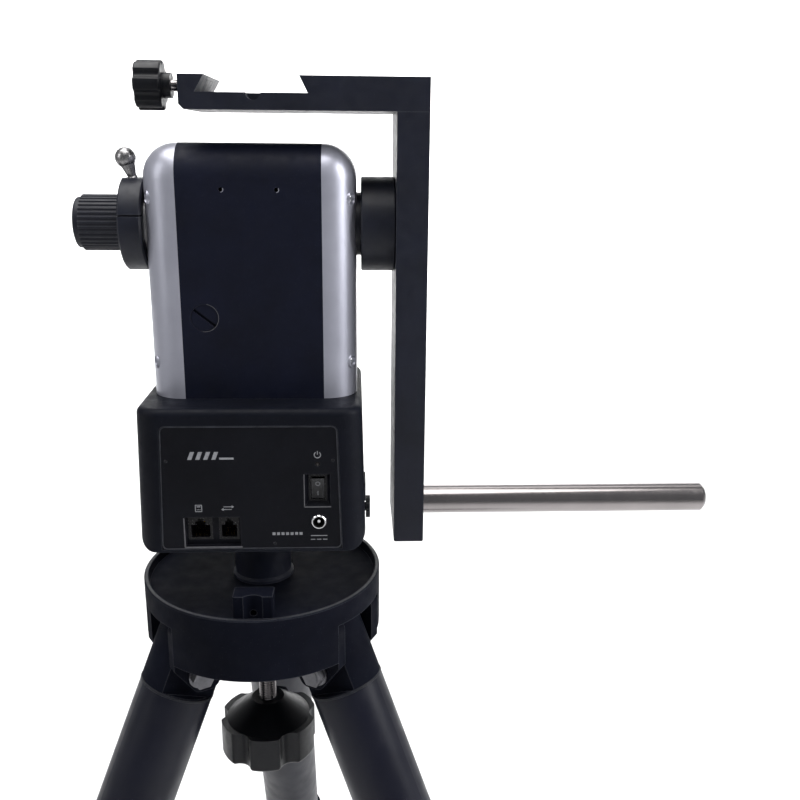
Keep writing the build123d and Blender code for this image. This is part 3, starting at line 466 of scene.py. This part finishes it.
# ---------------------------------------------------------------- control panel
def panel_marks():
    """Generic marks: a plain emblem, connector and controller signs, power and direct-current signs."""
    low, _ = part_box("control_panel")
    face = low.y
    hand = centre_mm("handbox_jack")
    serial = centre_mm("serial_jack")
    led = centre_mm("power_led")
    socket = centre_mm("power_jack")
    body = "azimuth_unit"
    label_z = hand.z + 15.2
    emblem_x = hand.x + 6.5
    emblem_z = led.z + 6.0
    slanted = ((-12, -2.6), (-9.4, -2.6), (-7.4, 2.6), (-10, 2.6))
    emblem = [[(emblem_x + x + 5 * i, emblem_z + z) for x, z in slanted] for i in range(4)]
    emblem.append(bar(emblem_x + 12.5, emblem_z - 1.9, 9.0, 1.3))
    printed("panel_emblem", emblem, face, body, PRINT_GREY)
    handset = [bar(hand.x, label_z + 2.2, 4.4, 0.5), bar(hand.x, label_z - 2.2, 4.4, 0.5),
               bar(hand.x - 2.0, label_z, 0.5, 4.0), bar(hand.x + 2.0, label_z, 0.5, 4.0),
               bar(hand.x, label_z + 1.1, 2.4, 0.7)]
    handset += [bar(hand.x - 0.9 + 0.9 * i, label_z - 0.9, 0.5, 0.5) for i in range(3)]
    printed("label_handbox", handset, face, body, PRINT_GREY)
    arrows = []
    tip = ((2.6, 1.9), (2.6, -0.1), (4.1, 0.9))
    for side in (1, -1):
        arrows.append(bar(serial.x, label_z + 0.9 * side, 5.2, 0.5))
        arrows.append([(serial.x + x * side, label_z + z * side) for x, z in tip])
    printed("label_serial", arrows, face, body, PRINT_GREY)
    sign = [arc_band(led.x, emblem_z + 0.2, 2.0, 0.55, 125, 415), bar(led.x, emblem_z + 1.6, 0.55, 2.4)]
    printed("label_power", sign, face, body, PRINT_GREY)
    direct = [bar(socket.x, socket.z - 9.4, 10.6, 0.55)]
    direct += [bar(socket.x - 3.9 + 3.9 * i, socket.z - 12.0, 2.8, 0.55) for i in range(3)]
    printed("label_direct_current", direct, face, body, PRINT_GREY)


def panel_outline(x, z, inset):
    """The panel's edge drawn in by inset (mm), wider at the foot than at the top."""
    outline = rounded((x[0] + inset, x[1] - inset), (z[0] + inset, z[1] - inset), PANEL_CORNER - inset)
    height = z[1] - z[0]
    return [(px - math.copysign(PANEL_FLARE * (pz - z[0]) / height, px), pz) for px, pz in outline]


def panel_trim():
    """The raised edge round the control panel, and painted highlights on the lips of its recesses."""
    low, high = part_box("control_panel")
    x = (low.x / MM + 0.05, high.x / MM - 0.05)
    z = (low.z / MM + 0.1, high.z / MM - 0.1)
    face = low.y / MM
    body = "azimuth_unit"
    bead("panel_bead", panel_outline(x, z, 0), panel_outline(x, z, 0.9), face - 0.3, face + 0.1,
         body, EDGE_GREY)
    switch = centre_mm("switch_frame")
    # Painted highlights: dim strips along the lit lips under and beside the switch and the jacks' pocket.
    lips = [bar(switch.x, switch.z - 11.3, 17.0, 0.8), bar(switch.x - 8.5, switch.z - 0.3, 0.6, 22.4),
            bar(*POCKET_FOOT), bar(*POCKET_SIDE)]
    printed("recess_lip_highlights", lips, low.y, body, DIM_PAINTED_HIGHLIGHT)
    squares = [bar(TYPE_MARK[0] + 2.9 * i, TYPE_MARK[1], 1.9, 1.9) for i in range(7)]
    printed("panel_type_mark", squares, low.y, body, PRINT_GREY)
    socket = centre_mm("power_jack")
    place = Vector((socket.x, 0, socket.z)) * MM
    outward = (0, -1, 0)
    # Painted shade: a near-black sleeve and floor inside the power jack's bore.
    hoop("power_jack_shade_sleeve", [(3.82, 48.2), (3.82, 60.9), (3.15, 60.9), (3.15, 48.2)],
         place, outward, body, PAINTED_HOLE_SHADE, steps=48)
    lathe("power_jack_shade_floor", [(1.1, 48.05), (3.2, 48.05), (3.2, 48.6), (1.1, 48.6)],
          place, outward, body, PAINTED_HOLE_SHADE, steps=48)


def jack_contacts(node, count, pitch):
    """The row of sprung wires inside a modular jack."""
    low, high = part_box(node)
    middle = (low + high) / 2
    made = bmesh.new()
    for i in range(count):
        x = middle.x + (i - (count - 1) / 2) * pitch * MM
        half = 0.16 * MM
        points = [(low.y + 2.0 * MM, middle.z - 6.0 * MM), (low.y + 9.5 * MM, middle.z - 2.2 * MM),
                  (low.y + 10.0 * MM, middle.z - 2.6 * MM), (low.y + 2.4 * MM, middle.z - 6.15 * MM)]
        left = [made.verts.new((x - half, y, z)) for y, z in points]
        right = [made.verts.new((x + half, y, z)) for y, z in points]
        made.faces.new(left)
        made.faces.new(right[::-1])
        for a in range(4):
            b = (a + 1) % 4
            made.faces.new((left[b], left[a], right[a], right[b]))
    mesh_object(f"{node}_contacts", made, "azimuth_unit", CONTACT_GOLD)


def rocker_marks():
    """The on and off signs on the rocker's two faces, laid on its slopes."""
    middle = centre_mm("power_rocker") * MM
    made = bmesh.new()
    pivot = Vector((middle.x, ROCKER_PIVOT_Y * MM, middle.z))
    place = Matrix.Translation(pivot) @ Matrix.Rotation(math.radians(ROCKER_TILT), 4, "X")
    for outline in ring_pair(0, 3.3, 1.35, 0.6) + [bar(0, -3.4, 0.7, 3.0)]:
        points = [place @ (Vector((x, -1.35 - abs(z) * ROCKER_RISE / ROCKER_HALF, z)) * MM)
                  for x, z in outline]
        raise_outline(made, points, (0, 0.08 * MM, 0))
    mesh_object("rocker_signs", made, "power_switch", PRINT_GREY)


panel_marks()
jack_contacts("handbox_jack", 8, 1.02)
jack_contacts("serial_jack", 6, 1.02)
rocker_marks()


# ---------------------------------------------------------------- screws and threads
def clamp_thread():
    """The saddle clamp's screw, threaded between the knob and the jaw."""
    low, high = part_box("saddle_screw")
    origin = Vector((0, 0, (low.z + high.z) / 2))
    screw = thread("clamp_screw_thread", 2.98, 0.35, 1.0, -44.0, high.x / MM, origin, (1, 0, 0),
                   "clamp_screw", MATERIALS["stainless"])
    lathe("clamp_screw_shoulder", [(3.0, -60), (3.5, -59.5), (3.5, -43.4), (3.1, -43.0)], origin, (1, 0, 0),
          "clamp_screw", MATERIALS["stainless"])
    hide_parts("saddle_screw")


def centre_thread():
    """The tripod's long centre bolt, with its thread running down into the knob."""
    low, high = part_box("center_bolt")
    screw = thread("center_bolt_thread", 6.34, 0.60, 1.954, low.z / MM, high.z / MM, Vector((0, 0, 0)),
                   (0, 0, 1), "center_screw", MATERIALS["stainless"], steps=48)
    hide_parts("center_bolt")


def band_trim():
    """Painted highlights: glints on the chamfers of the two small holes, and a lighter arc along the plug's
    bevelled edge.
    """
    low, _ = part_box("cover_band")
    body = "azimuth_unit"
    # Painted highlights: bright crescents on the lower right of each hole, and a dim arc on the plug's
    # right side.
    glints = [arc_band(x, BAND_HOLE_Z, 1.5, 0.4, -95, 35, steps=12) for x in BAND_HOLES]
    printed("painted_hole_glints", glints, low.y, body, MATERIALS["silver_shell"])
    plug = centre_mm("sight_plug")
    plug_low, plug_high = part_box("sight_plug")
    reach = (plug_high.x - plug_low.x) / 2 / MM
    edge = [arc_band(plug.x, plug.z, reach + 0.25, 0.3, -100, 80, steps=30)]
    printed("plug_edge_highlight", edge, low.y, body, DIM_PAINTED_HIGHLIGHT, thickness=0.04)


def screw_crosses():
    """Painted shade: flat dark crosses for the cross recesses in the eight screws that hold the side
    shells.
    """
    low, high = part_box("cover_screws")
    made = bmesh.new()
    for x, side in ((low.x, -1), (high.x, 1)):
        for y in SHELL_SCREW_Y:
            for z in SHELL_SCREW_Z:
                centre = Matrix.Translation((x + side * 0.02 * MM, y * MM, z * MM))
                for wide, tall in ((3.4, 0.7), (0.7, 3.4)):
                    stroke = Matrix.Diagonal((0.06 * MM, wide * MM, tall * MM, 1))
                    bmesh.ops.create_cube(made, size=1.0, matrix=centre @ stroke)
    mesh_object("cover_screw_cross_shade", made, "azimuth_unit", PAINTED_HOLE_SHADE)


def dish_trim():
    """A painted highlight: a lighter ring round the edge of the tripod's dish."""
    _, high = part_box("tripod_dish")
    top = high.z / MM
    hoop("dish_rim_highlight", [(DISH_R - 2.6, top + 0.02), (DISH_R - 0.8, top + 0.05), (DISH_R - 0.1, top - 0.7),
                      (DISH_R - 0.6, top - 1.0), (DISH_R - 2.6, top - 0.3)],
         Vector((0, 0, 0)), (0, 0, 1), "tripod_head", PAINTED_RIM_HIGHLIGHT, steps=160)


def leg_trim():
    """Rolled lips along each leg's tube and collar, coloured lighter as a painted highlight, and the tread
    of its foot.
    """
    joints = {joint["name"]: joint for joint in frame["record"]["behaviour"]["joints"]}
    for number in (1, 2, 3):
        hinge = Vector(joints[f"leg_fold_{number}"]["pos_m"])
        down = Vector(joints[f"leg_slide_{number}"]["axis"])
        leg = f"leg_{number}"
        hoop(f"tube_lip_{number}", [(25.8, 19.6), (26.35, 19.9), (26.35, 21.3), (25.8, 21.8)],
             hinge, down, leg, PAINTED_RIM_HIGHLIGHT)
        hoop(f"collar_lip_top_{number}", [(29.4, 352.4), (30.15, 353.0), (30.15, 354.2), (29.4, 354.6)],
             hinge, down, leg, PAINTED_RIM_HIGHLIGHT)
        hoop(f"collar_lip_low_{number}", [(29.4, 402.6), (30.15, 403.0), (30.15, 404.2), (29.4, 404.8)],
             hinge, down, leg, PAINTED_RIM_HIGHLIGHT)
        for ring in range(3):
            start = FOOT_TREAD + TREAD_STEP * ring
            hoop(f"foot_tread_{number}_{ring}",
                 [(26.8, start), (27.2, start + 0.4), (27.2, start + 1.8), (26.8, start + 2.2)],
                 hinge, down, f"leg_extension_{number}", MATERIALS["foot_rubber"])


clamp_thread()
centre_thread()
panel_trim()
band_trim()
screw_crosses()
dish_trim()
leg_trim()


# ---------------------------------------------------------------- stage, light and camera
def stage():
    """A pale floor that curves up into a backdrop far behind."""
    low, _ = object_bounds()
    made = bmesh.new()
    profile = [(-9.0, 0.0), (5.0, 0.0)]
    profile += [(5.0 + 2.0 * math.sin(t), 2.0 - 2.0 * math.cos(t))
                for t in (math.radians(9 * i) for i in range(1, 11))]
    profile += [(7.0, 9.0)]
    rows = [[made.verts.new((x, y, low.z + z)) for x in (-12.0, 12.0)] for y, z in profile]
    for a, b in zip(rows, rows[1:]):
        made.faces.new((a[0], a[1], b[1], b[0]))
    mesh = bpy.data.meshes.new("floor")
    made.to_mesh(mesh)
    made.free()
    for polygon in mesh.polygons:
        polygon.use_smooth = True
    pale = surface("floor_pale", (0.90, 0.90, 0.90), 0.85, grain=60, grain_bump=0.02, blotch=1.5,
                   blotch_amount=0.02, rough_spread=0.05)
    mesh.materials.append(pale)
    floor = bpy.data.objects.new("floor", mesh)
    bpy.context.scene.collection.objects.link(floor)
    floor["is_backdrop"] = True


def area_light(name, place, aim, size, power, color=(1, 1, 1), spread=180):
    """A rectangular lamp of a power (W) at place, turned to face aim."""
    data = bpy.data.lights.new(name, "AREA")
    data.shape = "RECTANGLE"
    data.size, data.size_y = size
    data.energy = power
    data.color = color
    data.spread = math.radians(spread)
    lamp = bpy.data.objects.new(name, data)
    lamp.location = place
    lamp.rotation_euler = (Vector(aim) - Vector(place)).to_track_quat("-Z", "Y").to_euler()
    bpy.context.scene.collection.objects.link(lamp)


def studio():
    """Soft light from above and both sides, and a wash over the floor and the backdrop."""
    world = bpy.data.worlds.new("studio")
    bpy.context.scene.world = world
    world.use_nodes = True
    backdrop = world.node_tree.nodes["Background"]
    backdrop.inputs["Color"].default_value = (0.93, 0.95, 1.0, 1)
    backdrop.inputs["Strength"].default_value = 0.24
    target = (0.02, 0.0, -0.15)
    area_light("overhead", (-0.1, -0.12, 1.3), target, (1.5, 1.15), 33, (1.0, 0.99, 0.98))
    area_light("key_right", (1.36, -0.44, 0.35), target, (0.62, 1.3), 25, (0.98, 0.985, 1.0))
    area_light("fill_left", (-1.4, -0.75, 0.45), target, (0.35, 1.2), 9)
    area_light("floor_wash", (0.0, 3.6, 3.2), (0.0, 3.6, -1.0), (7.0, 4.0), 150, spread=85)
    area_light("backdrop_wash", (0.0, 3.0, 2.6), (0.0, 7.0, 0.9), (6.0, 2.5), 300, spread=110)


def camera():
    """Stands in front at the height of the head's top, and looks down and slightly to the right."""
    yaw, pitch, roll = (math.radians(angle) for angle in (CAMERA_YAW, CAMERA_PITCH, CAMERA_ROLL))
    level = Vector((math.sin(yaw), math.cos(yaw), 0))
    forward = level * math.cos(pitch) - Vector((0, 0, math.sin(pitch)))
    right = forward.cross(Vector((0, 0, 1))).normalized()
    up = right.cross(forward)
    rolled_right = right * math.cos(roll) + up * math.sin(roll)
    rolled_up = up * math.cos(roll) - right * math.sin(roll)
    data = bpy.data.cameras.new("camera")
    data.sensor_width = 36.0
    data.lens = CAMERA_LENS
    data.clip_start = 0.05
    data.clip_end = 60.0
    lens = bpy.data.objects.new("camera", data)
    turn = Matrix((rolled_right, rolled_up, -forward)).transposed().to_4x4()
    lens.matrix_world = Matrix.Translation(CAMERA_PLACE) @ turn
    bpy.context.scene.collection.objects.link(lens)
    bpy.context.scene.camera = lens


stage()
studio()
camera()
bpy.context.scene.view_settings.view_transform = "Standard"
